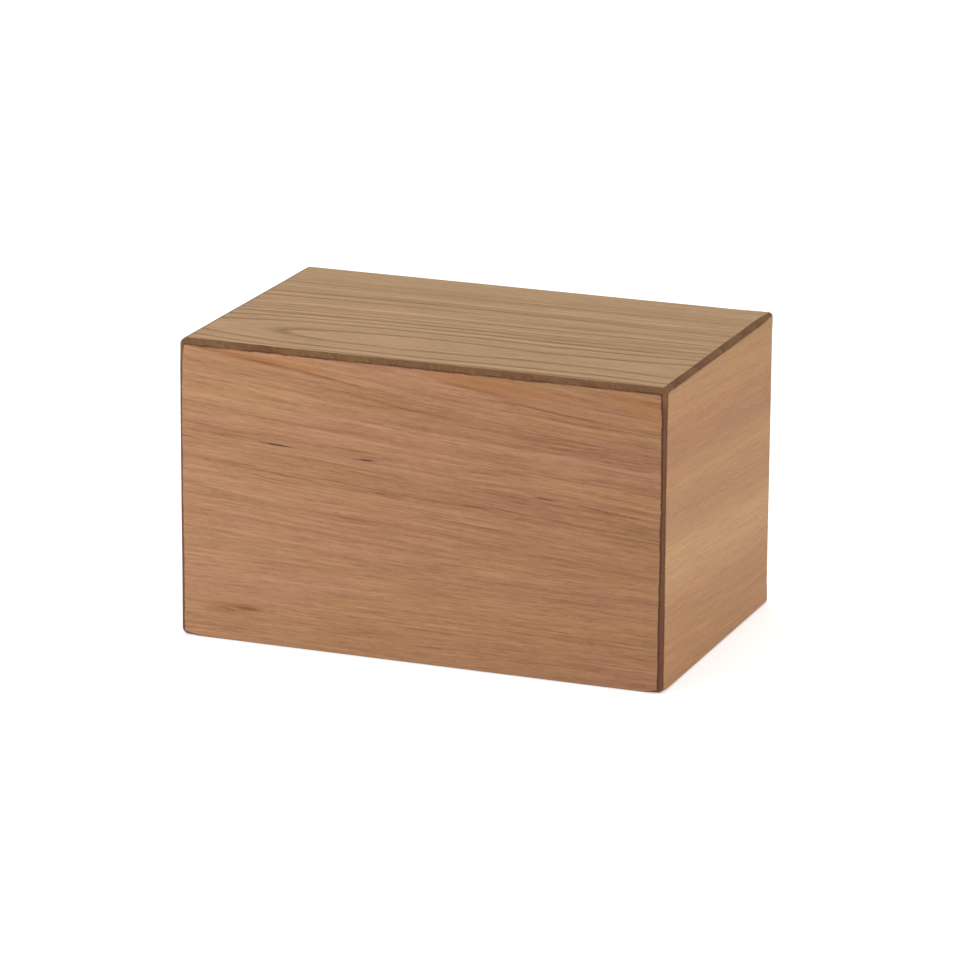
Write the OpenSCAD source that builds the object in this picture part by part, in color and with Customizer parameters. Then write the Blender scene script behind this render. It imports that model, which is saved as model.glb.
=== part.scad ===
// Cremation urn box: a plain, closed box of veneered board that is filled from below.
// Five boards meet in 45 degree mitres, so no board shows an end on the outside.
// A thin bottom board closes the box: it lies in a rebate and four screws hold it.
// Millimetres. +Z is up, +X runs along the long side and the front faces -Y.
// The origin is the middle of the footprint, on the surface that the box stands on.

/* [Overall size] */
// Width, along the long side
box_w = 190.5; // [120:0.5:320]
// Depth, front to back
box_d = 121.92; // [90:0.5:260]
// Height, from the resting edge to the top
box_h = 114.3; // [70:0.5:260]

/* [Boards] */
// Thickness of the four walls and the top, veneer included
board_t = 12.7; // [10.5:0.1:18]
// Thickness of the bottom board
bottom_t = 6; // [4:0.5:9]

/* [Rounded edges] */
// Radius of the four upright edges
upright_r = 2.2; // [0.5:0.1:4]
// Radius of the four top edges
top_r = 2.6; // [0.5:0.1:4]
// Radius of the four bottom edges
foot_r = 1.3; // [0.5:0.1:4]

/* [Bottom closure] */
// How far the rebate for the bottom board is cut into each wall
rebate_w = 8; // [6.7:0.1:9.6]
// How far the bottom board is set up from the resting edge
bottom_recess = 0.8; // [0.3:0.1:3]
// Gap all round the bottom board
bottom_gap = 0.3; // [0.1:0.1:0.5]

/* [Screws] */
// Distance of each screw from the outside of the nearer side wall
screw_inset = 28; // [20:0.5:50]
// Length of a screw, head included
screw_len = 16; // [12:0.5:30]
// Diameter of a screw's shank
screw_d = 3; // [2:0.1:4]
// Diameter of a screw's countersunk head
screw_head_d = 5.6; // [4.5:0.1:6]
// How far the head lies below the face of the bottom board
head_sink = 0.2; // [0.1:0.1:0.5]
// Gap round a screw in the boards that it goes through
screw_gap = 0.05; // [0.03:0.01:0.1]
// Width of one slot of the cross recess in the head
cross_w = 0.9; // [0.6:0.1:1.2]
// Length of one slot of the cross recess
cross_len = 3.2; // [2:0.1:4]
// Depth of the cross recess
cross_depth = 1.2; // [0.6:0.1:2]

/* [Hidden] */
$fn = 96;

// Colours of the top's veneer, the walls' veneer, the bottom board and the screws
top_tan = [0.66, 0.56, 0.43];
wall_tan = [0.67, 0.49, 0.36];
plain_tan = [0.62, 0.5, 0.38];
steel_grey = [0.72, 0.71, 0.68];

// A cut or a block reaches this far past the outside of the box
over = 5;
// A mitre runs in from the outside to this depth, just past the inner face of a board
mitre_depth = board_t + 1;

// The lower edge of a wall, outside the rebate, is what the box stands on.
// Its rounding leaves at least this much of it flat
foot_flat = 1;
foot_w = board_t - rebate_w;
foot_round = min(foot_r, foot_w - foot_flat);

// The cavity between the walls, and the wider rebate below it, which the bottom board fills
hollow_w = box_w - 2 * board_t;
hollow_d = box_d - 2 * board_t;
rebate_span_w = hollow_w + 2 * rebate_w;
rebate_span_d = hollow_d + 2 * rebate_w;
seat_z = bottom_recess + bottom_t;

// The screws stand along the middle of the seat in the front and back walls
screw_x = box_w / 2 - screw_inset;
screw_y = (hollow_d + rebate_w) / 2;
screw_z = bottom_recess + head_sink;
screw_places = [[-screw_x, -screw_y], [screw_x, -screw_y],
                [screw_x, screw_y], [-screw_x, screw_y]];
// The head is a 90 degree cone. The tip is a cone as long as the shank is thick
head_h = (screw_head_d - screw_d) / 2;
tip_h = screw_d;

// Half of a screw's outline, as radius and height, with its head at the bottom.
// It is widened all round by grow, for the hole
function screw_outline(grow) = [
    [0, 0],
    [screw_head_d / 2 + grow, 0],
    [screw_d / 2 + grow, head_h],
    [screw_d / 2 + grow, screw_len - tip_h],
    [0, screw_len + grow]
];

// Upright plate of width w and height h that stands on the x axis, with one radius for its
// two lower corners and another for its two upper corners
module rounded_plate(w, h, low_r, high_r) {
    translate([-w / 2, low_r]) square([w, h - low_r - high_r]);
    translate([-w / 2 + low_r, 0]) square([w - 2 * low_r, h / 2]);
    translate([-w / 2 + high_r, h / 2]) square([w - 2 * high_r, h / 2]);
    for (side = [-1, 1]) {
        translate([side * (w / 2 - low_r), low_r]) circle(low_r);
        translate([side * (w / 2 - high_r), h - high_r]) circle(high_r);
    }
}

// An outline drawn in x and z, carried along y over a length that is centred on the origin
module along_y(length) {
    translate([0, length / 2, 0]) rotate([90, 0, 0]) linear_extrude(length) children();
}

// An outline drawn in y and z, carried along x in the same way
module along_x(length) {
    translate([-length / 2, 0, 0]) rotate([90, 0, 90]) linear_extrude(length) children();
}

// The outside of the box as one block, with all twelve edges rounded
module outside() {
    intersection() {
        along_y(box_d) rounded_plate(box_w, box_h, foot_round, top_r);
        along_x(box_w) rounded_plate(box_d, box_h, foot_round, top_r);
        translate([0, -box_d / 2, 0])
            linear_extrude(box_h) rounded_plate(box_w, box_d, upright_r, upright_r);
    }
}

// A block of width w and depth d that is centred on the z axis and reaches down out of the box
module from_below(w, d, top_z) {
    translate([-w / 2, -d / 2, -over]) cube([w, d, top_z + over]);
}

// The four walls and the top as one piece, before the mitres part them
module shell() {
    difference() {
        outside();
        from_below(hollow_w, hollow_d, box_h - board_t);
        from_below(rebate_span_w, rebate_span_d, seat_z);
    }
}

// Outline of a board seen on its edge: its outer face lies on y = 0 and faces -y, and both
// its ends run in at 45 degrees from the box's corners
module mitred_outline(length) {
    polygon([
        [-length / 2 - over, -over],
        [length / 2 + over, -over],
        [length / 2 - mitre_depth, mitre_depth],
        [-length / 2 + mitre_depth, mitre_depth]
    ]);
}

// The same for a wall seen from its end: square at the foot and mitred where it meets the top.
// Here x runs inwards and y runs up
module wall_end_outline() {
    polygon([
        [-over, -over],
        [mitre_depth, -over],
        [mitre_depth, box_h - mitre_depth],
        [-over, box_h + over]
    ]);
}

// The space of one wall of the given length, whose outer face lies on y = 0 and faces -y
module wall_space(length) {
    intersection() {
        translate([0, 0, -over]) linear_extrude(box_h + 2 * over) mitred_outline(length);
        along_x(length + 2 * over) wall_end_outline();
    }
}

// One wall. The four sides are counted from the front, turning to the right
module wall(side) {
    is_long = side % 2 == 0;
    length = is_long ? box_w : box_d;
    to_face = (is_long ? box_d : box_w) / 2;
    intersection() {
        shell();
        rotate([0, 0, 90 * side]) translate([0, -to_face, 0]) wall_space(length);
    }
}

// A wall that two of the screws go into
module screwed_wall(side) {
    difference() {
        wall(side);
        screw_holes();
    }
}

// The holes for all four screws, in the walls and in the bottom board
module screw_holes() {
    for (place = screw_places) {
        translate([place[0], place[1], screw_z])
            rotate_extrude() polygon(screw_outline(screw_gap));
        translate([place[0], place[1], screw_z - over])
            cylinder(h = over, r = screw_head_d / 2 + screw_gap);
    }
}

module top_board() {
    color(top_tan) intersection() {
        shell();
        along_y(box_d + 2 * over)
            translate([0, box_h]) mirror([0, 1]) mitred_outline(box_w);
        along_x(box_w + 2 * over)
            translate([0, box_h]) mirror([0, 1]) mitred_outline(box_d);
    }
}

module front_board() {
    color(wall_tan) screwed_wall(0);
}

module right_board() {
    color(wall_tan) wall(1);
}

module back_board() {
    color(wall_tan) screwed_wall(2);
}

module left_board() {
    color(wall_tan) wall(3);
}

module bottom_board() {
    w = rebate_span_w - 2 * bottom_gap;
    d = rebate_span_d - 2 * bottom_gap;
    color(plain_tan) difference() {
        translate([-w / 2, -d / 2, bottom_recess]) cube([w, d, bottom_t]);
        screw_holes();
    }
}

// The screw's head faces down and carries the cross recess
module bottom_screw(index) {
    place = screw_places[index];
    color(steel_grey) translate([place[0], place[1], screw_z]) difference() {
        rotate_extrude() polygon(screw_outline(0));
        for (turn = [0, 90])
            rotate([0, 0, turn]) translate([-cross_len / 2, -cross_w / 2, -over])
                cube([cross_len, cross_w, cross_depth + over]);
    }
}

top_board();
front_board();
back_board();
left_board();
right_board();
bottom_board();
bottom_screw(0);  // bottom_screw_1
bottom_screw(1);  // bottom_screw_2
bottom_screw(2);  // bottom_screw_3
bottom_screw(3);  // bottom_screw_4
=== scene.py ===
"""The finish of a cremation urn box: veneered boards with sanded edges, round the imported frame.

Shapes are worked out in metres. Patterns in the wood are worked out in millimetres, because
that is how a grain is measured.
"""

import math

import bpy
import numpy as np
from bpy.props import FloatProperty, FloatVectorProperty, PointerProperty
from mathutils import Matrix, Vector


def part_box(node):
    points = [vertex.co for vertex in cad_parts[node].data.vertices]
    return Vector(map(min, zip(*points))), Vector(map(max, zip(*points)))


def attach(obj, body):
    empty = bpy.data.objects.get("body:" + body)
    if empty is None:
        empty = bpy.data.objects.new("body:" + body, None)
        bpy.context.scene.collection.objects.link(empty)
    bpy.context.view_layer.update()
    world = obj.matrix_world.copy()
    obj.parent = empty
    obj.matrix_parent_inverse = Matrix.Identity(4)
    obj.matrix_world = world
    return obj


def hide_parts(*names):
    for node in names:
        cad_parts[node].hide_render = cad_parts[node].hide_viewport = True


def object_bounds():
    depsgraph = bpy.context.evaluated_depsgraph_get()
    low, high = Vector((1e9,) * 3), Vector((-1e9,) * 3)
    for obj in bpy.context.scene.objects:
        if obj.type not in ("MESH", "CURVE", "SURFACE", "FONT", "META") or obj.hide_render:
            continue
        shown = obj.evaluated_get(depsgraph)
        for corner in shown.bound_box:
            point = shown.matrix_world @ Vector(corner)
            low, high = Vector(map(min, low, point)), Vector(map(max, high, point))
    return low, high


bl_info = {
    "name": "Urn Box",
    "version": (1, 0, 0),
    "blender": (4, 5, 0),
    "location": "View3D > Sidebar > Urn Box",
    "description": "Builds a veneered cremation urn box with sanded edges, and a plain stage",
    "category": "Add Mesh",
}

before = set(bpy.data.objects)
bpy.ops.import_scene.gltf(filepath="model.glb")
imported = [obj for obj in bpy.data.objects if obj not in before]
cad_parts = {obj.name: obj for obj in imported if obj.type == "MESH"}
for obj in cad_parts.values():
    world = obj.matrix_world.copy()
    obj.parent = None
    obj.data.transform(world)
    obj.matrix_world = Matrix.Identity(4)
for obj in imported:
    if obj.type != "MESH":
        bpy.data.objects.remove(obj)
CAD_BOX = [list(corner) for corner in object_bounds()]

MM = 0.001
BODY = "root"

# The outside of the box, and what the frame says about its boards
LOW, HIGH = (np.array(corner) for corner in CAD_BOX)
HALF_W, HALF_D, HEIGHT = HIGH
BOARD_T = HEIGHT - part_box("top_board")[0].z
BOTTOM_GAP = 0.3 * MM
FOOT_W = HALF_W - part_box("bottom_board")[1].x - BOTTOM_GAP
SEAT_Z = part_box("bottom_board")[1].z
SCREWS = ["bottom_screw_1", "bottom_screw_2", "bottom_screw_3", "bottom_screw_4"]
# The walls are counted from the front, turning to the right
WALLS = ["front_board", "right_board", "back_board", "left_board"]

# A rounding is cut into this many steps from its edge of the face to the mitre
ROUND_STEPS = 6
# Share of a radius that stays clear of the rounding, so that a flat face shades flat
GUARD = 0.25
# Steps on the flat of a face: along a board, and up a wall or across the top
LONG_STEPS = 60
SHORT_STEPS = 40
# How many millimetres into a rounding a point counts as lying, where it is past any rounding and
# where it is far from one
PAST_ROUNDING = 9.0
FAR_FROM_ROUNDING = -9.0
# Faces that meet at more than this angle keep a sharp edge between them
SHARP_ANGLE = math.radians(32)
# How strongly a finish bends light
FINISH_IOR = 1.46

# Where one radius goes over into the next, in millimetres. For the foot these are the heights at
# which the upright edges' radius starts and is whole. The others are such distances from a limit.
FOOT_BLEND = (3, 9)
TOP_BLEND = (12, 4)
# The front foot corners: from the ends of a wall, and from the foot
CORNER_BLEND = (8, 2)
CORNER_RISE_BLEND = (70, 8)
# The sharper corner at the back right of the top: from the back and the top, the places along x,
# and by what share its radius is smaller
SHARP_CORNER_BLEND = (9, 3)
SHARP_CORNER_X = (80, 92)
SHARP_CORNER_SHARE = 0.3

# The floor reaches this many metres each way, and lies this far under the foot of the box
FLOOR_REACH = 14
FLOOR_DROP = 0.05 * MM

# How much each part of a straight grain changes how light the wood is
GROWTH = 0.85
THREADS = 0.26
FIBRES = 0.95
FLECKS = 0.9
PORES = 0.2
GLINTS = 0.2

# For each veneer, how dark the line is where the veneer is sanded through, and how many
# millimetres into the rounding the veneer reaches
EDGES = {"front": (0.95, 0.1), "right": (0.45, 0.5), "plain": (0.7, 0.3), "top": (0.25, 0)}


def srgb(red, green, blue):
    """The light that a screen colour of 0 to 255 stands for, as three shares of 1."""
    share = np.array([red, green, blue]) / 255
    return tuple(np.where(share < 0.04045, share / 12.92, ((share + 0.055) / 1.055) ** 2.4))


# Sizes and colours that can be changed


class BoxSettings(bpy.types.PropertyGroup):
    """Edges and finish of the box."""

    upright_radius: FloatProperty(
        name="Upright edges", description="Radius of the four upright edges",
        default=2.2 * MM, min=0.5 * MM, max=4 * MM, precision=4, unit="LENGTH")
    top_radius: FloatProperty(
        name="Top edges", description="Radius of the edges round the top",
        default=2.6 * MM, min=0.5 * MM, max=4 * MM, precision=4, unit="LENGTH")
    foot_radius: FloatProperty(
        name="Foot edges", description="Radius of the edges round the foot",
        default=1.3 * MM, min=0.5 * MM, max=4 * MM, precision=4, unit="LENGTH")
    foot_corner_radius: FloatProperty(
        name="Foot corners", description="Radius of the two front corners of the foot",
        default=2.5 * MM, min=0.5 * MM, max=4 * MM, precision=4, unit="LENGTH")
    unevenness: FloatProperty(
        name="Unevenness", description="How much a hand-sanded radius varies along an edge",
        default=0.07, min=0, max=0.2, subtype="FACTOR")
    relief: FloatProperty(
        name="Grain relief", description="Depth of the pores under the finish",
        default=0.06 * MM, min=0, max=0.3 * MM, precision=5, unit="LENGTH")
    wall_tan: FloatVectorProperty(
        name="Wall veneer", description="Main colour of the walls' veneer",
        default=srgb(153, 107, 75), min=0, max=1, subtype="COLOR")
    wall_gold: FloatVectorProperty(
        name="Wall veneer, yellower", description="Colour of the yellower bands of the walls",
        default=srgb(152, 110, 71), min=0, max=1, subtype="COLOR")
    top_tan: FloatVectorProperty(
        name="Top veneer", description="Main colour of the top's veneer",
        default=srgb(162, 127, 86), min=0, max=1, subtype="COLOR")
    streak_gold: FloatVectorProperty(
        name="Golden patches", description="Colour of the golden patches in the front",
        default=srgb(154, 99, 47), min=0, max=1, subtype="COLOR")
    streak_brown: FloatVectorProperty(
        name="Streaks", description="Colour of the dark streaks in the front",
        default=srgb(118, 72, 32), min=0, max=1, subtype="COLOR")
    core_brown: FloatVectorProperty(
        name="Rounded edges", description="Colour of the stained core where an edge is sanded round",
        default=srgb(95, 46, 16), min=0, max=1, subtype="COLOR")
    core_tan: FloatVectorProperty(
        name="Rounded edges, paler", description="Colour of the paler tufts in that core",
        default=srgb(114, 82, 38), min=0, max=1, subtype="COLOR")
    seam_brown: FloatVectorProperty(
        name="Edge of the veneer", description="Colour of the line where the veneer is sanded through",
        default=srgb(64, 28, 9), min=0, max=1, subtype="COLOR")


class StageSettings(bpy.types.PropertyGroup):
    """Camera, lights and floor."""

    azimuth: FloatProperty(
        name="Azimuth", description="How far the camera stands round to the right of the front",
        default=math.radians(21.05), unit="ROTATION")
    elevation: FloatProperty(
        name="Elevation", description="How far the camera looks down",
        default=math.radians(16.1), unit="ROTATION")
    roll: FloatProperty(
        name="Roll", description="How far the camera leans to one side",
        default=math.radians(0.38), unit="ROTATION")
    distance: FloatProperty(
        name="Distance", description="Distance from the camera to the point that it looks at",
        default=2.0443, min=0.3, unit="LENGTH")
    lens: FloatProperty(
        name="Lens", description="Focal length on a 36 mm wide sensor, in millimetres",
        default=204.62, min=20)
    aim: FloatVectorProperty(
        name="Aim", description="Point that the camera looks at",
        default=(0.9 * MM, -0.5 * MM, 54.43 * MM), subtype="TRANSLATION", unit="LENGTH")
    sky: FloatProperty(
        name="Room light", description="Strength of the even light all round",
        default=0.62, min=0)
    key_power: FloatProperty(
        name="Key light", description="Power of the lamp at the front left, in watts",
        default=0.9, min=0)
    side_power: FloatProperty(
        name="Side light", description="Power of the large lamp at the right, in watts",
        default=3.4, min=0)
    high_power: FloatProperty(
        name="Overhead light", description="Power of the large lamp above the box, in watts",
        default=4.5, min=0)
    floor_colour: FloatVectorProperty(
        name="Floor", description="Colour of the floor",
        default=(0.93, 0.93, 0.93), min=0, max=1, subtype="COLOR")
    floor_glow: FloatProperty(
        name="Floor glow", description="Light that the floor gives off itself, as a light table does",
        default=0.42, min=0)


# Shapes


def ease(value, start, end):
    """0 before start, 1 after end, and the smooth step 3t^2 - 2t^3 between them."""
    t = np.clip((value - start) / (end - start), 0, 1)
    return t * t * (3 - 2 * t)


def edge_radius(points, box):
    """Radius of the rounding nearest to each point of the block. It goes from the foot's radius to
    the upright edges' and on to the top's with height, and near the two front corners it starts
    from the foot corners' radius instead. All that is times 1 plus a small sum of slow sines of x, y
    and z, which is the unevenness of sanding by hand. The back right corner at the top is sharper."""
    x, y, z = (points / MM).T
    half_w, half_d, height = HIGH / MM

    def near(value, limit, blend):
        """0 further from the limit than the first distance of blend, and 1 within the second."""
        return ease(value, limit - blend[0], limit - blend[1])

    radius = box.foot_radius + (box.upright_radius - box.foot_radius) * ease(z, *FOOT_BLEND)
    radius = radius + (box.top_radius - box.upright_radius) * near(z, height, TOP_BLEND)
    corner = near(np.abs(x), half_w, CORNER_BLEND)
    corner = corner * near(-y, half_d, CORNER_BLEND) * near(-z, 0, CORNER_RISE_BLEND)
    radius = radius + (box.foot_corner_radius - radius) * corner
    # On each axis a short wave with a phase, and a long one
    waves = 0
    for place, short, phase, long in ((x, 6.1, 1, 17.3), (y, 5.3, 2, 14.9), (z, 5.7, 3, 15.1)):
        waves = waves + np.sin(place / short + phase) + np.sin(place / long)
    sharp = near(y, half_d, SHARP_CORNER_BLEND) * near(z, height, SHARP_CORNER_BLEND)
    sharp = SHARP_CORNER_SHARE * sharp * ease(x, *SHARP_CORNER_X)
    return radius * (1 + box.unevenness * waves / 4) * (1 - sharp)


def round_off(points, box):
    """Carries points on the sharp-edged block to the block with rounded edges. A point moves to the
    block shrunk by the radius, plus the radius in the direction from there to where it was.
    Returns the new points, the radius there and that direction, unit long."""
    radius = edge_radius(points, box)
    core = np.clip(points, LOW + radius[:, None], HIGH - radius[:, None])
    away = points - core
    away /= np.linalg.norm(away, axis=1, keepdims=True)
    return core + radius[:, None] * away, radius, away


def face_places(half, radius, steps):
    """Places across a face from -half to half: even steps of angle in each rounding, up to 45
    degrees, and even steps of length between them."""
    angle = np.linspace(0, math.pi / 4, ROUND_STEPS + 1)
    rounding = half - radius * (1 - np.tan(angle))
    guard = half - radius * (1 + GUARD)
    flat = np.linspace(-guard, guard, steps)
    return np.concatenate([-rounding[::-1], flat, rounding])


def worn_distance(radius, angle, to_edge):
    """Length in millimetres over the surface from where the rounding starts: the arc of that angle in
    the rounding, and less than 0 on the flat face."""
    return np.where(angle > 1e-6, radius * angle, np.minimum(radius - to_edge, 0)) / MM


def quads(rows, columns):
    """Corner numbers of the quads of a grid of points, each turning down a row and then along."""
    first = (np.arange(rows - 1)[:, None] * columns + np.arange(columns - 1)).ravel()
    return np.stack([first, first + columns, first + columns + 1, first + 1], axis=1)


def add_piece(name, points, faces, corner_uv, materials, face_material, marks):
    """Puts points, faces and texture places into a mesh, with a smooth finish that breaks at sharp
    edges. marks are numbers to keep with each point, by name."""
    mesh = bpy.data.meshes.new(name)
    mesh.from_pydata(points.tolist(), [], faces)
    uv_map = mesh.uv_layers.new(name="OFBake")
    uv_map.data.foreach_set("uv", np.asarray(corner_uv, np.float32).ravel())
    for mark, values in marks.items():
        kept = mesh.attributes.new(mark, "FLOAT", "POINT")
        kept.data.foreach_set("value", np.asarray(values, np.float32))
    for material in materials:
        mesh.materials.append(material)
    mesh.polygons.foreach_set("material_index", np.asarray(face_material, np.int32))
    mesh.shade_smooth()
    mesh.set_sharp_from_angle(angle=SHARP_ANGLE)
    piece = bpy.data.objects.new(name, mesh)
    bpy.context.scene.collection.objects.link(piece)
    return piece


def wall_outline(box):
    """A wall seen on its end, as insets from its outer face and heights: down the outer face and
    under the foot on the sharp block, then round the rebate, the seat and the inner face.
    Returns both lists and how many of the points are on the outside."""
    fall = face_places(HEIGHT / 2, box.top_radius, SHORT_STEPS)
    outer_height = HEIGHT / 2 - fall
    under = face_places(HALF_W, box.foot_radius, 2)[:ROUND_STEPS + 2] + HALF_W
    outer_inset = np.concatenate([np.zeros(len(fall)), under[1:], [FOOT_W]])
    outer_height = np.concatenate([outer_height, np.zeros(len(under))])
    inner_inset = np.array([FOOT_W, BOARD_T, BOARD_T])
    inner_height = np.array([SEAT_Z, SEAT_Z, HEIGHT - BOARD_T])
    inset = np.concatenate([outer_inset, inner_inset])
    return inset, np.concatenate([outer_height, inner_height]), len(outer_inset)


def add_wall(side, box, materials):
    """One wall. The outline of its end is carried along the wall, and at inset i it reaches from
    -(half - i) to half - i, which makes both ends mitres. The outside is then rounded off."""
    half, to_face = (HALF_W, HALF_D) if side % 2 == 0 else (HALF_D, HALF_W)
    inset, height, outer = wall_outline(box)
    share = face_places(half, box.upright_radius, LONG_STEPS) / half
    rows, columns = len(inset), len(share)
    along = share * (half - inset[:, None])
    flat = [along, np.broadcast_to((inset - to_face)[:, None], along.shape),
            np.broadcast_to(height[:, None], along.shape)]
    local = np.stack(flat, axis=-1).reshape(-1, 3)
    turn = np.array(Matrix.Rotation(side * math.pi / 2, 3, "Z")).round()
    points = local @ turn.T
    outside = slice(0, outer * columns)
    points[outside], radius, away = round_off(points[outside], box)

    # How far each outside point lies into the rounding of the upright and top edges, and of the foot
    leaning = away @ turn
    to_edge = np.minimum(half - np.abs(local[outside, 0]), HEIGHT - local[outside, 2])
    upward = np.maximum(leaning[:, 2], 0)
    worn = np.full(len(points), PAST_ROUNDING)
    worn[outside] = worn_distance(
        radius, np.arctan2(np.hypot(leaning[:, 0], upward), -leaning[:, 1]), to_edge)
    foot = np.full(len(points), PAST_ROUNDING)
    foot[outside] = worn_distance(
        radius, np.arctan2(np.maximum(-leaning[:, 2], 0), -leaning[:, 1]), local[outside, 2])

    # The last row of quads joins the inner face to the outer one along the mitre under the top
    grid = quads(rows + 1, columns) % (rows * columns)
    left = np.arange(rows - 1, -1, -1) * columns
    right = np.arange(rows) * columns + columns - 1
    faces = grid.tolist() + [left.tolist(), right.tolist()]
    bare = np.repeat(np.arange(rows) >= outer - 1, columns - 1)
    face_material = np.append(bare, [True, True])

    # The outside takes the upper part of the map, the inside a strip below it, the ends a corner
    step = np.hypot(np.diff(inset, append=inset[0]), np.diff(height, append=height[0]))
    run = np.concatenate([[0], np.cumsum(step)])
    outside_run = run[outer - 1]
    v = np.where(np.arange(rows + 1) < outer, 0.99 - 0.6 * run / outside_run,
                 0.36 - 0.34 * (run - outside_run) / (run[-1] - outside_run))
    v_start = np.where(np.arange(rows) == outer - 1, 0.36, v[:-1])
    u = 0.01 + 0.98 * (share + 1) / 2
    u_inside = 0.01 + 0.84 * (share + 1) / 2
    strips = []
    for row in range(rows):
        across = u if row < outer - 1 else u_inside
        corners = np.empty((columns - 1, 4, 2))
        corners[:, :2, 0] = across[:-1, None]
        corners[:, 2:, 0] = across[1:, None]
        corners[:, [0, 3], 1] = v_start[row]
        corners[:, [1, 2], 1] = v[row + 1]
        strips.append(corners.reshape(-1, 2))
    end = np.stack([inset / BOARD_T, height / HEIGHT], axis=1) * (0.05, 0.34)
    corner_uv = np.concatenate(strips + [end[::-1] + (0.87, 0.02), end + (0.93, 0.02)])
    return add_piece(WALLS[side] + "_veneered", points, faces, corner_uv, materials,
                     face_material, {"edge_mm": worn, "foot_mm": foot})


def add_top(box, materials):
    """The top board. Its outside is a grid on top of the sharp block, rounded off to the mitres. Its
    underside is the same grid shrunk to the inside of the walls and moved down by the thickness
    of a board, and a strip joins the two all round."""
    x = face_places(HALF_W, box.top_radius, LONG_STEPS)
    y = face_places(HALF_D, box.top_radius, SHORT_STEPS)
    rows, columns = len(x), len(y)
    grid_x, grid_y = (part.ravel() for part in np.meshgrid(x, y, indexing="ij"))
    sharp = np.stack([grid_x, grid_y, np.full(grid_x.shape, HEIGHT)], axis=1)
    outer, radius, away = round_off(sharp, box)
    shrink = (1 - BOARD_T / HALF_W, 1 - BOARD_T / HALF_D, 1)
    inner = sharp * shrink - (0, 0, BOARD_T)
    points = np.concatenate([outer, inner])

    to_edge = np.minimum(HALF_W - np.abs(grid_x), HALF_D - np.abs(grid_y))
    angle = np.arctan2(np.hypot(away[:, 0], away[:, 1]), away[:, 2])
    worn = np.append(worn_distance(radius, angle, to_edge), np.full(len(inner), PAST_ROUNDING))

    count = rows * columns
    cells = quads(rows, columns)
    number = np.arange(count).reshape(rows, columns)
    rim = np.concatenate([number[:-1, 0], number[-1, :-1], number[:0:-1, -1], number[0, :0:-1]])
    after = np.roll(rim, -1)
    strip = np.stack([after, rim, rim + count, after + count], axis=1)
    faces = np.concatenate([cells, cells[:, ::-1] + count, strip])
    is_outer = np.arange(len(faces)) < len(cells)

    # The outside takes the upper part of the map, the underside a part below it, the strip the rest
    place = np.stack([(grid_x / HALF_W + 1) / 2, (grid_y / HALF_D + 1) / 2], axis=1)
    around = np.linspace(0.01, 0.99, len(rim) + 1)
    strip_uv = np.empty((len(rim), 4, 2))
    strip_uv[:, [1, 2], 0] = around[:-1, None]
    strip_uv[:, [0, 3], 0] = around[1:, None]
    strip_uv[:, :2, 1] = 0.05
    strip_uv[:, 2:, 1] = 0.01
    corner_uv = np.concatenate([
        (place * (0.98, 0.6) + (0.01, 0.39))[cells].reshape(-1, 2),
        (place * (0.5, 0.3) + (0.01, 0.07))[cells[:, ::-1]].reshape(-1, 2),
        strip_uv.reshape(-1, 2)])
    marks = {"edge_mm": worn, "foot_mm": np.full(len(points), FAR_FROM_ROUNDING)}
    return add_piece("top_board_veneered", points, faces.tolist(), corner_uv, materials,
                     ~is_outer, marks)


def cross_outline(angles, length, width):
    """Distance from the middle to the edge of a cross of two equal slots, at each angle: the end of a
    slot is length / 2 away along its axis, and its side is width / 2 away across it."""
    turned = (angles + math.pi / 4) % (math.pi / 2) - math.pi / 4
    with np.errstate(divide="ignore"):
        side = width / 2 / np.abs(np.sin(turned))
    return np.minimum(length / 2 / np.cos(turned), side)


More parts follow.
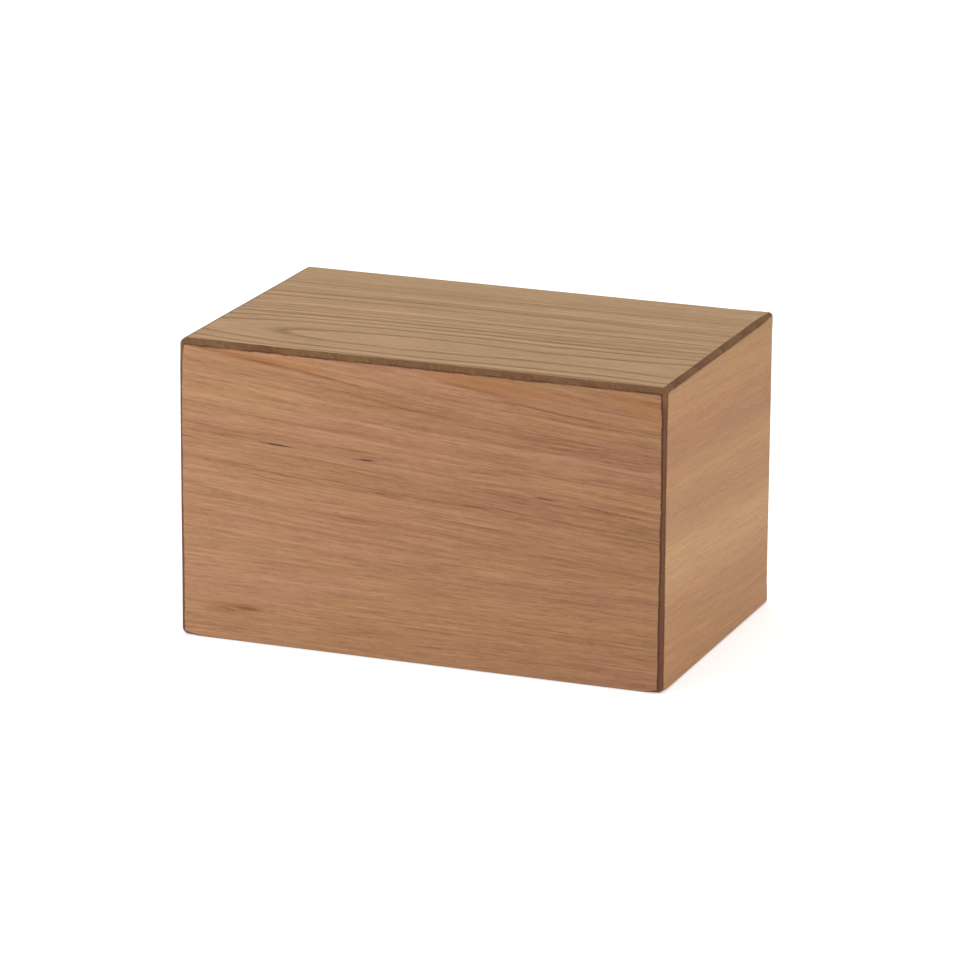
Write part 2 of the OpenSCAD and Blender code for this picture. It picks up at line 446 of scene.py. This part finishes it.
def add_screw(node, material):
    """One countersunk wood screw, head down. Rings of points are carried up the axis: the cross recess,
    the flat of the head, the cone under it, and the shank, whose radius follows a screw thread: a
    ramp up and down once for each turn of angle and each pitch of height."""
    low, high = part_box(node)
    middle = np.array([(low.x + high.x) / 2, (low.y + high.y) / 2, 0])
    head_r = (high.x - low.x) / 2
    length = high.z - low.z
    shank_r = 1.5 * MM
    core_r = 1.05 * MM
    head_h = head_r - shank_r
    pitch = 1.3 * MM
    tip = 3 * MM
    recess_depth = 1.2 * MM
    recess_length = 3.2 * MM
    recess_width = 0.9 * MM
    # The recess narrows to this share of itself at its floor
    recess_floor = 0.62
    thread_start = head_h + 0.8 * MM
    thread_full = head_h + 2 * MM

    slot_end = math.atan(recess_width / recess_length)
    eighth = np.concatenate([np.linspace(0, slot_end, 3), np.linspace(slot_end, math.pi / 4, 4)[1:]])
    quarter = np.concatenate([eighth, math.pi / 2 - eighth[-2:0:-1]])
    angles = np.concatenate([quarter + turn * math.pi / 2 for turn in range(4)])
    cross = cross_outline(angles, recess_length, recess_width)
    round_edge = 0.12 * MM
    head = [(cross * recess_floor, recess_depth), (cross, 0), (head_r - round_edge, 0),
            (head_r, round_edge), (shank_r + 0.1 * MM, head_h), (core_r * 1.15, head_h + 0.5 * MM)]
    radii = [np.broadcast_to(radius, angles.shape) for radius, rise in head]
    rises = [np.full(angles.shape, rise) for radius, rise in head]

    rise = np.arange(thread_start, length - 0.15 * MM, pitch / 8)[:, None]
    turn = rise / pitch - angles / (2 * math.pi)
    ridge = np.clip(2.2 * np.abs(2 * (turn % 1) - 1) - 1.2, 0, 1)
    taper = np.clip((length - rise) / tip, 0.04, 1)
    grown = ease(rise, thread_start, thread_full)
    thread_r = taper * (core_r + (shank_r - core_r) * ridge * grown)
    radius = np.concatenate([np.array(radii), thread_r])
    height = np.concatenate([np.array(rises), np.broadcast_to(rise, thread_r.shape)])

    rings, sides = radius.shape
    ring_points = np.stack([radius * np.cos(angles), radius * np.sin(angles), height], axis=-1)
    poles = np.array([[0, 0, recess_depth], [0, 0, length]])
    points = np.concatenate([ring_points.reshape(-1, 3), poles]) + middle + (0, 0, low.z)
    ring = np.arange(sides)
    after = (ring + 1) % sides
    starts = np.arange(rings - 1)[:, None] * sides
    bands = np.stack([starts + ring, starts + after, starts + sides + after,
                      starts + sides + ring], axis=-1)
    last = (rings - 1) * sides
    bottom = np.stack([np.full(sides, rings * sides), after, ring], axis=1)
    top = np.stack([last + ring, last + after, np.full(sides, rings * sides + 1)], axis=1)
    faces = bands.reshape(-1, 4).tolist() + bottom.tolist() + top.tolist()

    # Texture places go round the screw and up it
    u = np.linspace(0.01, 0.99, sides + 1)
    v = np.linspace(0.02, 0.98, rings + 2)
    band_uv = np.empty((rings - 1, sides, 4, 2))
    band_uv[..., [0, 3], 0] = u[:-1, None]
    band_uv[..., [1, 2], 0] = u[1:, None]
    band_uv[..., :2, 1] = v[1:-2, None, None]
    band_uv[..., 2:, 1] = v[2:-1, None, None]
    middles = (u[:-1] + u[1:]) / 2
    bottom_uv = np.stack([np.stack([middles, np.full(sides, v[0])], 1),
                          np.stack([u[1:], np.full(sides, v[1])], 1),
                          np.stack([u[:-1], np.full(sides, v[1])], 1)], axis=1)
    top_uv = np.stack([np.stack([u[:-1], np.full(sides, v[-2])], 1),
                       np.stack([u[1:], np.full(sides, v[-2])], 1),
                       np.stack([middles, np.full(sides, v[-1])], 1)], axis=1)
    corner_uv = np.concatenate([part.reshape(-1, 2) for part in (band_uv, bottom_uv, top_uv)])
    return add_piece(node + "_threaded", points, faces, corner_uv, [material],
                     np.zeros(len(faces)), {})


# Materials


class Field:
    """A number that varies over a surface. Arithmetic on it adds Math nodes to its recipe."""

    def __init__(self, recipe, socket):
        self.recipe = recipe
        self.socket = socket

    def __add__(self, other):
        return self.recipe.maths("ADD", self, other)

    def __sub__(self, other):
        return self.recipe.maths("SUBTRACT", self, other)

    def __rsub__(self, other):
        return self.recipe.maths("SUBTRACT", other, self)

    def __mul__(self, other):
        return self.recipe.maths("MULTIPLY", self, other)

    def __truediv__(self, other):
        return self.recipe.maths("DIVIDE", self, other)

    def __abs__(self):
        return self.recipe.maths("ABSOLUTE", self)

    __radd__ = __add__
    __rmul__ = __mul__


class Recipe:
    """The steps of one material, each of which adds a node to its tree."""

    def __init__(self, name):
        self.material = bpy.data.materials.new(name)
        self.material.use_nodes = True
        self.tree = self.material.node_tree
        self.tree.nodes.clear()

    def node(self, kind, inputs, **settings):
        """A node of a kind. inputs gives its sockets, by name or number, a plain value or a field."""
        made = self.tree.nodes.new(kind)
        for setting, value in settings.items():
            setattr(made, setting, value)
        for key, value in inputs.items():
            if isinstance(value, Field):
                self.tree.links.new(value.socket, made.inputs[key])
            else:
                made.inputs[key].default_value = value
        return made

    def out(self, made, key=0):
        """One output of a node, as a field."""
        return Field(self, made.outputs[key])

    def maths(self, operation, *values):
        """A Math node."""
        return self.out(self.node("ShaderNodeMath", dict(enumerate(values)), operation=operation))

    def place(self):
        """x, y and z on the box, in millimetres."""
        where = self.node("ShaderNodeTexCoord", {}).outputs["Object"]
        parts = self.node("ShaderNodeSeparateXYZ", {})
        self.tree.links.new(where, parts.inputs[0])
        return [self.out(parts, axis) / MM for axis in range(3)]

    def mark(self, name):
        """A number that was kept with the points of a piece."""
        return self.out(self.node("ShaderNodeAttribute", {}, attribute_name=name), "Fac")

    def noise(self, x, y, seed=0.0, detail=2.0, roughness=0.5):
        """Smooth noise round 0, about one bump to each unit of x and of y."""
        where = self.out(self.node("ShaderNodeCombineXYZ", {0: x, 1: y, 2: seed}))
        made = self.node("ShaderNodeTexNoise", {
            "Vector": where, "Scale": 1.0, "Detail": detail, "Roughness": roughness})
        return self.out(made, "Fac") - 0.5

    def rise(self, value, start, end):
        """0 before start, 1 after end, eased between them. It falls where end is the lower one."""
        return self.out(self.node("ShaderNodeMapRange", {
            "Value": value, "From Min": start, "From Max": end}, interpolation_type="SMOOTHSTEP"))

    def run(self, value, start, end):
        """0 before start, 1 after end and even between them."""
        return self.out(self.node("ShaderNodeMapRange", {
            "Value": value, "From Min": start, "From Max": end}))

    def hump(self, value, start, end, soft):
        """1 between start and end, eased to 0 over a soft stretch outside each of them."""
        return self.rise(value, start - soft, start) * self.rise(value, end + soft, end)

    def curve(self, value, start, end, stops):
        """A height that follows given stops of place and height, from start to end."""
        return self.ramp(value, start, end, [(at, (height,) * 3) for at, height in stops])

    def ramp(self, value, start, end, stops):
        """A colour that runs through given stops of place and colour, from start to end."""
        made = self.node("ShaderNodeValToRGB", {0: self.run(value, start, end)})
        elements = made.color_ramp.elements
        while len(elements) < len(stops):
            elements.new(0.5)
        for element, (at, colour) in zip(elements, stops):
            element.position = (at - start) / (end - start)
            element.color = (*colour, 1)
        return self.out(made)

    def blend(self, share, first, second):
        """first where share is 0 and second where it is 1, both colours."""
        both = {6: first, 7: second}
        both = {key: value if isinstance(value, Field) else (*value, 1) for key, value in both.items()}
        return self.out(self.node("ShaderNodeMix", {0: share, **both}, data_type="RGBA"), 2)

    def shade(self, colour, change):
        """A wood colour made lighter or darker by a share of itself. Dark wood has lost more of its
        blue than of its red, and light wood less."""
        shares = {axis: 1 + change * weight for axis, weight in enumerate((1, 1.28, 1.65))}
        share = self.out(self.node("ShaderNodeCombineXYZ", shares))
        return self.out(self.node("ShaderNodeVectorMath", {0: colour, 1: share}, operation="MULTIPLY"))

    def streak(self, along, across, start, end, half_width, bow=0.0):
        """A soft line in the grain, 1 in its middle, from a start to an end that are each a pair of
        along and across. It bows by that much in the middle, and tapers to both its tips."""
        t = self.run(along, start[0], end[0])
        centre = start[1] + (end[1] - start[1]) * t + 4 * bow * t * (1 - t)
        taper = self.rise(t, 0.4, 0) + self.rise(t, 0.6, 1)
        return self.rise(abs(across - centre) + taper * half_width, half_width, 0)

    def surface(self, colour, roughness, height, depth, metallic=0.0):
        """The finished material: colour, roughness, and relief of that depth for a height of 1."""
        relief = self.node("ShaderNodeBump", {"Height": height, "Distance": depth, "Strength": 1.0})
        shader = self.node("ShaderNodeBsdfPrincipled", {
            "Base Color": colour, "Roughness": roughness, "Metallic": metallic, "IOR": FINISH_IOR,
            "Normal": self.out(relief)})
        output = self.node("ShaderNodeOutputMaterial", {})
        self.tree.links.new(shader.outputs[0], output.inputs["Surface"])
        return self.material


def edge_finish(recipe, colour, place, seam, start, box):
    """Lays the sanded edges over a veneer: a broken dark line where the veneer is sanded through,
    the stained core past it, and the core under the foot. seam says how dark the line is, and
    start how far into the rounding the veneer reaches. Returns the colour and how much of the core
    shows."""
    x, y, z = place
    ragged = recipe.noise(x * 0.22 + z * 0.22, y * 0.22, 7.0, 3.0, 0.6) * 0.9
    worn = recipe.mark("edge_mm") + ragged
    tufts = recipe.noise(x * 0.5 + z * 0.3, y * 0.5, 11.0, 3.0, 0.7)
    stretches = recipe.noise(x * 0.05 + z * 0.05, y * 0.05, 12.0, 2.0)
    # The core is paler along the top edges than along the upright ones, and darkest near the foot.
    # The line is fainter along the top edges.
    upper = recipe.rise(z, HEIGHT / MM - 9, HEIGHT / MM - 3)
    paler = recipe.rise(tufts * 0.7 + stretches * 0.8, -0.26, 0.22) * (0.4 + 0.6 * upper)
    paler = paler * (0.3 + 0.7 * recipe.rise(z, 10, 50))
    core = recipe.blend(paler, tuple(box.core_brown), tuple(box.core_tan))
    broken = recipe.rise(recipe.noise(x * 0.12 + z * 0.12, y * 0.12, 13.0, 2.0), -0.12, 0.08)
    line = recipe.hump(worn, start + 0.35, start + 0.75, 0.35)
    line = line * seam * (1 - upper * (0.75 - 0.6 * broken))
    core = recipe.blend(line, core, tuple(box.seam_brown))
    bared = recipe.rise(worn, start, start + 0.5)
    foot = recipe.rise(recipe.mark("foot_mm") + ragged * 0.4, 0.8, 1.3)
    colour = recipe.blend(bared, colour, core)
    return recipe.blend(foot, colour, tuple(box.core_brown)), bared


def straight_grain(recipe, along, level, seed, bold, box):
    """Straight-grained veneer. Every part of it is noise drawn out along the grain: broad bands
    between two colours, growth bands, fibres, long dark threads, which run where one such noise
    is near 0, and short pores and glints. bold says how strong the growth bands and threads are.
    Returns its colour, how much lighter it gets from place to place, and the pores."""
    bands = recipe.noise(along * 0.006, level * 0.06, seed, 2.0, 0.5)
    colour = recipe.blend(recipe.rise(bands, -0.14, 0.14), tuple(box.wall_tan), tuple(box.wall_gold))
    growth = recipe.noise(along * 0.003, level * 0.35, seed + 1.7, 3.0, 0.6)
    fibres = recipe.noise(along * 0.035, level * 1.1, seed + 3.1, 3.0, 0.7)
    flecks = recipe.noise(along * 0.2, level * 1.6, seed + 5.3, 2.0, 0.6)
    contour = recipe.noise(along * 0.006, level * 0.3, seed + 7.9, 3.0, 0.55)
    kept = recipe.rise(recipe.noise(along * 0.018, level * 0.25, seed + 9.7, 2.0), -0.1, 0.12)
    threads = recipe.rise(abs(contour), 0.035, 0) * kept
    pores = recipe.rise(flecks, 0.07, 0.2)
    glints = recipe.rise(flecks, -0.1, -0.24)
    change = (growth * GROWTH - threads * THREADS) * bold
    change = change + fibres * FIBRES + flecks * FLECKS - pores * PORES + glints * GLINTS
    return colour, change, pores


def veneer_surface(recipe, colour, place, pores, fine, seam, start, box):
    """The satin varnish over a veneer, with its pores and fibres as relief, and its edges."""
    colour, bared = edge_finish(recipe, colour, place, seam, start, box)
    height = fine * 0.5 - pores * 0.5
    roughness = 0.6 + pores * 0.1 + bared * 0.08
    return recipe.surface(colour, roughness, height, box.relief)


def front_veneer(box):
    """The front: grain that falls to the right, steepest near the top, with golden patches, dark and
    pale streaks, four near-black flecks and a small brown smudge low down on the left. Painted
    shade makes it a little darker towards the right, where the light from the front left falls off."""
    recipe = Recipe("front_veneer")
    place = recipe.place()
    along = place[0] + HALF_W / MM
    depth = HEIGHT / MM - place[2]
    slope = 0.1 - 0.03 * recipe.rise(depth, 12, 22) - 0.055 * recipe.rise(depth, 60, 88)
    wander = recipe.noise(along * 0.014, depth * 0.05, 2.0, 1.0) * 2
    level = depth - slope * (along - HALF_W / MM) + wander
    # The lower half is quieter
    bold = 1 - 0.6 * recipe.rise(depth, 46, 72)
    colour, change, pores = straight_grain(recipe, along, level, 0.0, bold, box)

    def streak(*shape, **bow):
        return recipe.streak(along, depth, *shape, **bow)

    broken = 0.75 + recipe.noise(along * 0.12, depth * 0.8, 4.0, 2.0) * 2
    # Golden patches and brown streaks near the top edge
    gold = streak((-2, 2.2), (74, 6.6), 4.5, bow=0.6) * 0.7
    gold = gold + streak((82, 2), (168, 9), 5.5) * 0.7
    gold = gold + streak((156, 1), (214, 18), 7) * 0.6
    brown = streak((4, 3.2), (82, 12.5), 0.85, bow=-1) * 1.1
    brown = brown + streak((56, 10.2), (128, 17.8), 0.8) * 0.55
    brown = brown + streak((84, 3.2), (154, 13.2), 1.0, bow=-0.5) * 0.65
    brown = brown + streak((100, 6.5), (196, 18.4), 0.8, bow=0.5) * 0.65
    # Fine dark lines further down
    brown = brown + streak((5, 36.5), (190, 49), 0.7, bow=0.8) * 0.35
    brown = brown + streak((-20, 48), (205, 62.5), 0.6, bow=-0.3) * 0.4
    brown = brown + streak((-10, 24), (120, 32.5), 0.6) * 0.2
    brown = brown + streak((20, 65), (150, 74), 0.7, bow=1) * 0.25
    # The smudge
    brown = brown + streak((0, 103), (44, 100.2), 3.4) * 0.6 + streak((10, 102.2), (38, 100.2), 1.7) * 0.6
    # Pale streaks
    pale = streak((-30, 27), (205, 42.5), 2.6, bow=-1.2) * 0.07
    pale = pale + streak((-20, 50), (205, 63.8), 0.7, bow=-0.3) * 0.08
    pale = pale + streak((-20, 88), (90, 91.5), 2.4) * 0.05

    # Painted shade: the front is a little lighter at its left end and darker at its right, where the
    # light from the front left falls off
    painted_shade_to_right = recipe.run(along, 0, 2 * HALF_W / MM) * 0.16 - 0.08
    colour = recipe.shade(colour, change + pale * broken - painted_shade_to_right)
    colour = recipe.blend(gold * broken, colour, tuple(box.streak_gold))
    colour = recipe.blend(brown * broken, colour, tuple(box.streak_brown))
    # Near-black flecks
    black = streak((26, 35.8), (54, 37.4), 0.42) * 0.7 + streak((33, 36.2), (46, 36.9), 0.48)
    black = black + streak((67, 38.7), (83, 38.5), 0.42) * 0.7 + streak((71, 38.6), (79, 38.5), 0.48)
    black = black + streak((137, 45.2), (152, 46.1), 0.5) * 0.8
    black = black + streak((-10, 37), (10, 36.7), 0.5) * 0.6
    colour = recipe.blend(black, colour, srgb(62, 27, 12))
    # At the left end, below the top edge, the veneer reaches further round and its line is faint
    left_end = recipe.rise(along, 14, 4) * recipe.rise(depth, 3, 7)
    seam, start = EDGES["front"]
    seam = seam - left_end * 0.65
    start = start + left_end * 0.45
    return veneer_surface(recipe, colour, place, pores, change, seam, start, box)


def right_veneer(box):
    """The right side: quiet bands that fall towards the back, yellow near the top, pinkish below
    it, a yellow streak, a cream band, and browner low down."""
    recipe = Recipe("right_veneer")
    place = recipe.place()
    along = place[1] + HALF_D / MM
    depth = HEIGHT / MM - place[2]
    wander = recipe.noise(along * 0.02, depth * 0.03, 22.0, 1.0) * 3.5
    level = depth - 0.065 * (along - HALF_D / MM) + wander
    colour, change, pores = straight_grain(recipe, along, level, 20.0, 0.6, box)
    tone = recipe.ramp(level, 0, HEIGHT / MM, [
        (0, srgb(157, 114, 64)), (12, srgb(165, 119, 64)), (20, srgb(157, 107, 62)),
        (31, srgb(152, 103, 61)), (40, srgb(167, 121, 67)), (48, srgb(161, 116, 71)),
        (58, srgb(158, 114, 68)), (66, srgb(175, 132, 81)), (78, srgb(172, 128, 79)),
        (87, srgb(158, 111, 64)), (100, srgb(159, 112, 62)), (112, srgb(155, 108, 58))])
    colour = recipe.shade(recipe.blend(0.8, colour, tone), change * 0.6)
    return veneer_surface(recipe, colour, place, pores, change, *EDGES["right"], box)


def plain_wall_veneer(name, axis, seed, box):
    """The back and the left side: the same straight-grained veneer, with nothing in it that stands
    out. axis says which way the wall runs."""
    recipe = Recipe(name)
    place = recipe.place()
    along = place[axis]
    depth = HEIGHT / MM - place[2]
    wander = recipe.noise(along * 0.015, depth * 0.02, seed + 2.0, 1.0) * 8
    level = depth + 0.04 * along + wander
    colour, change, pores = straight_grain(recipe, along, level, seed, 0.7, box)
    colour = recipe.shade(colour, change * 0.7)
    return veneer_surface(recipe, colour, place, pores, change, *EDGES["plain"], box)


def top_veneer(box):
    """The top: flat-sawn veneer. Its rings are lines of equal radius, whose square is the squared
    distance from a line near the front edge plus a number that changes along the board. Where that
    number is large the rings close, which leaves a slim eye with a closed left end."""
    recipe = Recipe("top_ringed_veneer")
    place = recipe.place()
    along = place[0] + HALF_W / MM
    across = HALF_D / MM - place[1]
    eye = 96.5
    # How far the rings have closed along the board, as the square of a distance in millimetres
    closing = 300 * recipe.curve(along, 0, 190, [
        (0, 0.85), (10, 0.7), (32, 0.34), (55, 0.18), (80, 0.11), (105, 0.17), (130, 0.24), (165, 0.2),
        (187, 0.06)])
    wander = recipe.noise(along * 0.03, across * 0.03, 31.0, 2.0) * 2
    off_eye = across - eye + wander
    radius = recipe.maths("SQRT", off_eye * off_eye + closing)

    growth = recipe.noise(along * 0.005, radius * 0.34, 33.0, 2.0, 0.7)
    growth = growth * (0.3 + recipe.rise(radius, 12, 30) * recipe.rise(radius, 88, 66))
    fibres = recipe.noise(along * 0.035, across + off_eye * 0.2, 35.0, 3.0, 0.7)
    flecks = recipe.noise(along * 0.2, across * 1.5, 37.0, 2.0, 0.6)
    # Each ring starts sharply on its side towards the eye and fades away from it
    rings = None
    for at, strength in [(10.2, 1.0), (17.5, 0.95), (22.5, 0.7), (27, 0.6), (31.5, 0.8), (35.3, 0.5),
                         (38.5, 0.85), (43.5, 0.6), (47, 0.35), (50.5, 0.6), (54, 0.4), (57, 0.7),
                         (60.5, 0.4), (64, 0.4), (71.5, 0.55), (75, 0.3), (79, 0.25)]:
        ring = recipe.rise(radius, at - 0.6, at + 0.1) * recipe.rise(radius, at + 2.4, at) * strength
        rings = ring if rings is None else rings + ring
    dashes = 0.75 + flecks * 2.5
    pores = recipe.rise(flecks, 0.06, 0.2) * (0.3 + rings)
    change = growth + fibres * 0.9 + flecks * 0.6
    tone = recipe.blend(recipe.rise(growth, -0.14, 0.14), tuple(box.top_tan), srgb(166, 129, 91))
    colour = recipe.shade(tone, change + 0.08 - rings * dashes * 0.54)
    return veneer_surface(recipe, colour, place, pores, change, *EDGES["top"], box)


def bottom_veneer(box):
    """The underside of the bottom board: plain thin veneer, a little rougher, with no varnish build."""
    recipe = Recipe("bottom_plain_veneer")
    along, across = recipe.place()[:2]
    wander = recipe.noise(along * 0.012, across * 0.02, 43.0, 1.0) * 9
    colour, change, pores = straight_grain(recipe, along, across + wander, 44.0, 0.6, box)
    colour = recipe.shade(colour, change * 0.7 - 0.06)
    return recipe.surface(colour, 0.65 + pores * 0.1, change - pores * 0.5, box.relief)


def bare_board():
    """Bare fibreboard, as the mitres, the rebate and the inside show it: short pressed fibres."""
    recipe = Recipe("bare_board")
    x, y, z = recipe.place()
    tufts = recipe.noise(x * 1.1 + z * 0.4, y * 1.1 + z * 0.7, 51.0, 4.0, 0.7)
    specks = recipe.rise(recipe.noise(x * 2.3 + z, y * 2.3 - z, 53.0, 2.0), 0.1, 0.25)
    base = recipe.blend(recipe.rise(tufts, -0.2, 0.2), srgb(138, 102, 68), srgb(162, 126, 88))
    colour = recipe.shade(base, specks * -0.2)
    return recipe.surface(colour, 0.8 - specks * 0.05, tufts, 0.1 * MM)


def screw_steel():
    """Zinc-plated steel: bright, a little yellow, with soft cloudy patches."""
    recipe = Recipe("screw_zinc")
    x, y, z = recipe.place()
    clouds = recipe.noise(x * 0.9 + z * 0.5, y * 0.9 + z * 0.5, 61.0, 3.0, 0.6)
    colour = recipe.blend(recipe.rise(clouds, -0.2, 0.2), srgb(176, 172, 160), srgb(206, 203, 194))
    return recipe.surface(colour, 0.34 + clouds * 0.3, clouds, 0.02 * MM, metallic=1.0)


def floor_finish(stage):
    """A plain pale floor that gives off a little light of its own, which keeps its shadows soft."""
    material = bpy.data.materials.new("studio_floor")
    material.use_nodes = True
    shader = material.node_tree.nodes["Principled BSDF"]
    shader.inputs["Base Color"].default_value = (*stage.floor_colour, 1)
    shader.inputs["Roughness"].default_value = 0.9
    shader.inputs["Specular IOR Level"].default_value = 0.1
    shader.inputs["Emission Color"].default_value = (1, 1, 1, 1)
    shader.inputs["Emission Strength"].default_value = stage.floor_glow
    return material


# Operators


class URN_OT_walls(bpy.types.Operator):
    """Build the four veneered walls"""

    bl_idname = "urn.walls"
    bl_label = "Walls"

    def execute(self, context):
        box = context.scene.urn_box
        veneers = [front_veneer(box), right_veneer(box),
                   plain_wall_veneer("back_veneer", 0, 70.0, box),
                   plain_wall_veneer("left_veneer", 1, 80.0, box)]
        core = bare_board()
        for side, veneer in enumerate(veneers):
            wall = add_wall(side, box, [veneer, core])
            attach(wall, BODY)
            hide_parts(WALLS[side])
        return {"FINISHED"}


class URN_OT_top(bpy.types.Operator):
    """Build the veneered top board"""

    bl_idname = "urn.top"
    bl_label = "Top"

    def execute(self, context):
        box = context.scene.urn_box
        core = bpy.data.materials.get("bare_board") or bare_board()
        top = add_top(box, [top_veneer(box), core])
        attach(top, BODY)
        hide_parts("top_board")
        return {"FINISHED"}


class URN_OT_bottom(bpy.types.Operator):
    """Finish the bottom board, whose shape is the frame's own"""

    bl_idname = "urn.bottom"
    bl_label = "Bottom"

    def execute(self, context):
        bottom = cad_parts["bottom_board"]
        bottom.data.materials.clear()
        bottom.data.materials.append(bottom_veneer(context.scene.urn_box))
        return {"FINISHED"}


class URN_OT_screws(bpy.types.Operator):
    """Build the four wood screws that hold the bottom"""

    bl_idname = "urn.screws"
    bl_label = "Screws"

    def execute(self, context):
        steel = screw_steel()
        for node in SCREWS:
            screw = add_screw(node, steel)
            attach(screw, BODY)
            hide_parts(node)
        return {"FINISHED"}


class URN_OT_stage(bpy.types.Operator):
    """Build the floor, the lights and the camera"""

    bl_idname = "urn.stage"
    bl_label = "Stage"

    def execute(self, context):
        stage = context.scene.urn_stage
        self.add_floor(stage)
        self.add_lights(context.scene, stage)
        self.add_camera(context.scene, stage)
        context.scene.view_settings.view_transform = "Standard"
        return {"FINISHED"}

    def add_floor(self, stage):
        """A wide square of floor, a hair under the foot of the box."""
        reach = np.linspace(-FLOOR_REACH, FLOOR_REACH, FLOOR_REACH + 1)
        x, y = (part.ravel() for part in np.meshgrid(reach, reach, indexing="ij"))
        points = np.stack([x, y, np.full(x.shape, -FLOOR_DROP)], axis=1)
        mesh = bpy.data.meshes.new("studio_floor")
        mesh.from_pydata(points.tolist(), [], quads(len(reach), len(reach)).tolist())
        mesh.materials.append(floor_finish(stage))
        floor = bpy.data.objects.new("studio_floor", mesh)
        bpy.context.scene.collection.objects.link(floor)

    def add_lights(self, scene, stage):
        """Even light all round, and soft lamps at the front left, at the right and overhead."""
        world = bpy.data.worlds.new("studio_room")
        world.use_nodes = True
        room = world.node_tree.nodes["Background"]
        room.inputs["Color"].default_value = (1, 1, 1, 1)
        room.inputs["Strength"].default_value = stage.sky
        scene.world = world
        lamps = [("key_lamp", (-0.32, -0.42, 0.3), 0.3, stage.key_power),
                 ("side_lamp", (1.1, -0.35, 0.4), 0.8, stage.side_power),
                 ("high_lamp", (-0.1, 0.1, 1.3), 0.8, stage.high_power)]
        for name, place, size, power in lamps:
            lamp = bpy.data.lights.new(name, "AREA")
            lamp.size = size
            lamp.energy = power
            holder = bpy.data.objects.new(name, lamp)
            holder.location = place
            aim = Vector(stage.aim) - holder.location
            holder.rotation_euler = aim.to_track_quat("-Z", "Y").to_euler()
            holder.visible_camera = False
            scene.collection.objects.link(holder)

    def add_camera(self, scene, stage):
        """The camera stands at its distance from the aim, turned by the azimuth and the elevation,
        and leans by the roll."""
        turn = Matrix.Rotation(stage.azimuth, 4, "Z")
        turn = turn @ Matrix.Rotation(math.pi / 2 - stage.elevation, 4, "X")
        turn = turn @ Matrix.Rotation(stage.roll, 4, "Z")
        back = turn.to_3x3() @ Vector((0, 0, 1))
        place = Vector(stage.aim) + stage.distance * back
        data = bpy.data.cameras.new("camera")
        data.sensor_width = 36
        data.lens = stage.lens
        data.clip_end = 60
        camera = bpy.data.objects.new("camera", data)
        camera.matrix_world = Matrix.Translation(place) @ turn
        scene.collection.objects.link(camera)
        scene.camera = camera


class URN_PT_panel(bpy.types.Panel):
    """Lists the steps that build the urn box and its stage"""

    bl_idname = "URN_PT_panel"
    bl_label = "Urn Box"
    bl_space_type = "VIEW_3D"
    bl_region_type = "UI"
    bl_category = "Urn Box"

    def draw(self, context):
        for step in STEPS:
            self.layout.operator(step.bl_idname)


STEPS = (URN_OT_walls, URN_OT_top, URN_OT_bottom, URN_OT_screws, URN_OT_stage)
CLASSES = (BoxSettings, StageSettings, *STEPS, URN_PT_panel)


def register():
    for kind in CLASSES:
        bpy.utils.register_class(kind)
    bpy.types.Scene.urn_box = PointerProperty(type=BoxSettings)
    bpy.types.Scene.urn_stage = PointerProperty(type=StageSettings)


def unregister():
    del bpy.types.Scene.urn_stage
    del bpy.types.Scene.urn_box
    for kind in reversed(CLASSES):
        bpy.utils.unregister_class(kind)


def main():
    """Registers everything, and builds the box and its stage."""
    register()
    bpy.ops.urn.walls()
    bpy.ops.urn.top()
    bpy.ops.urn.bottom()
    bpy.ops.urn.screws()
    bpy.ops.urn.stage()


if __name__ == "__main__":
    main()
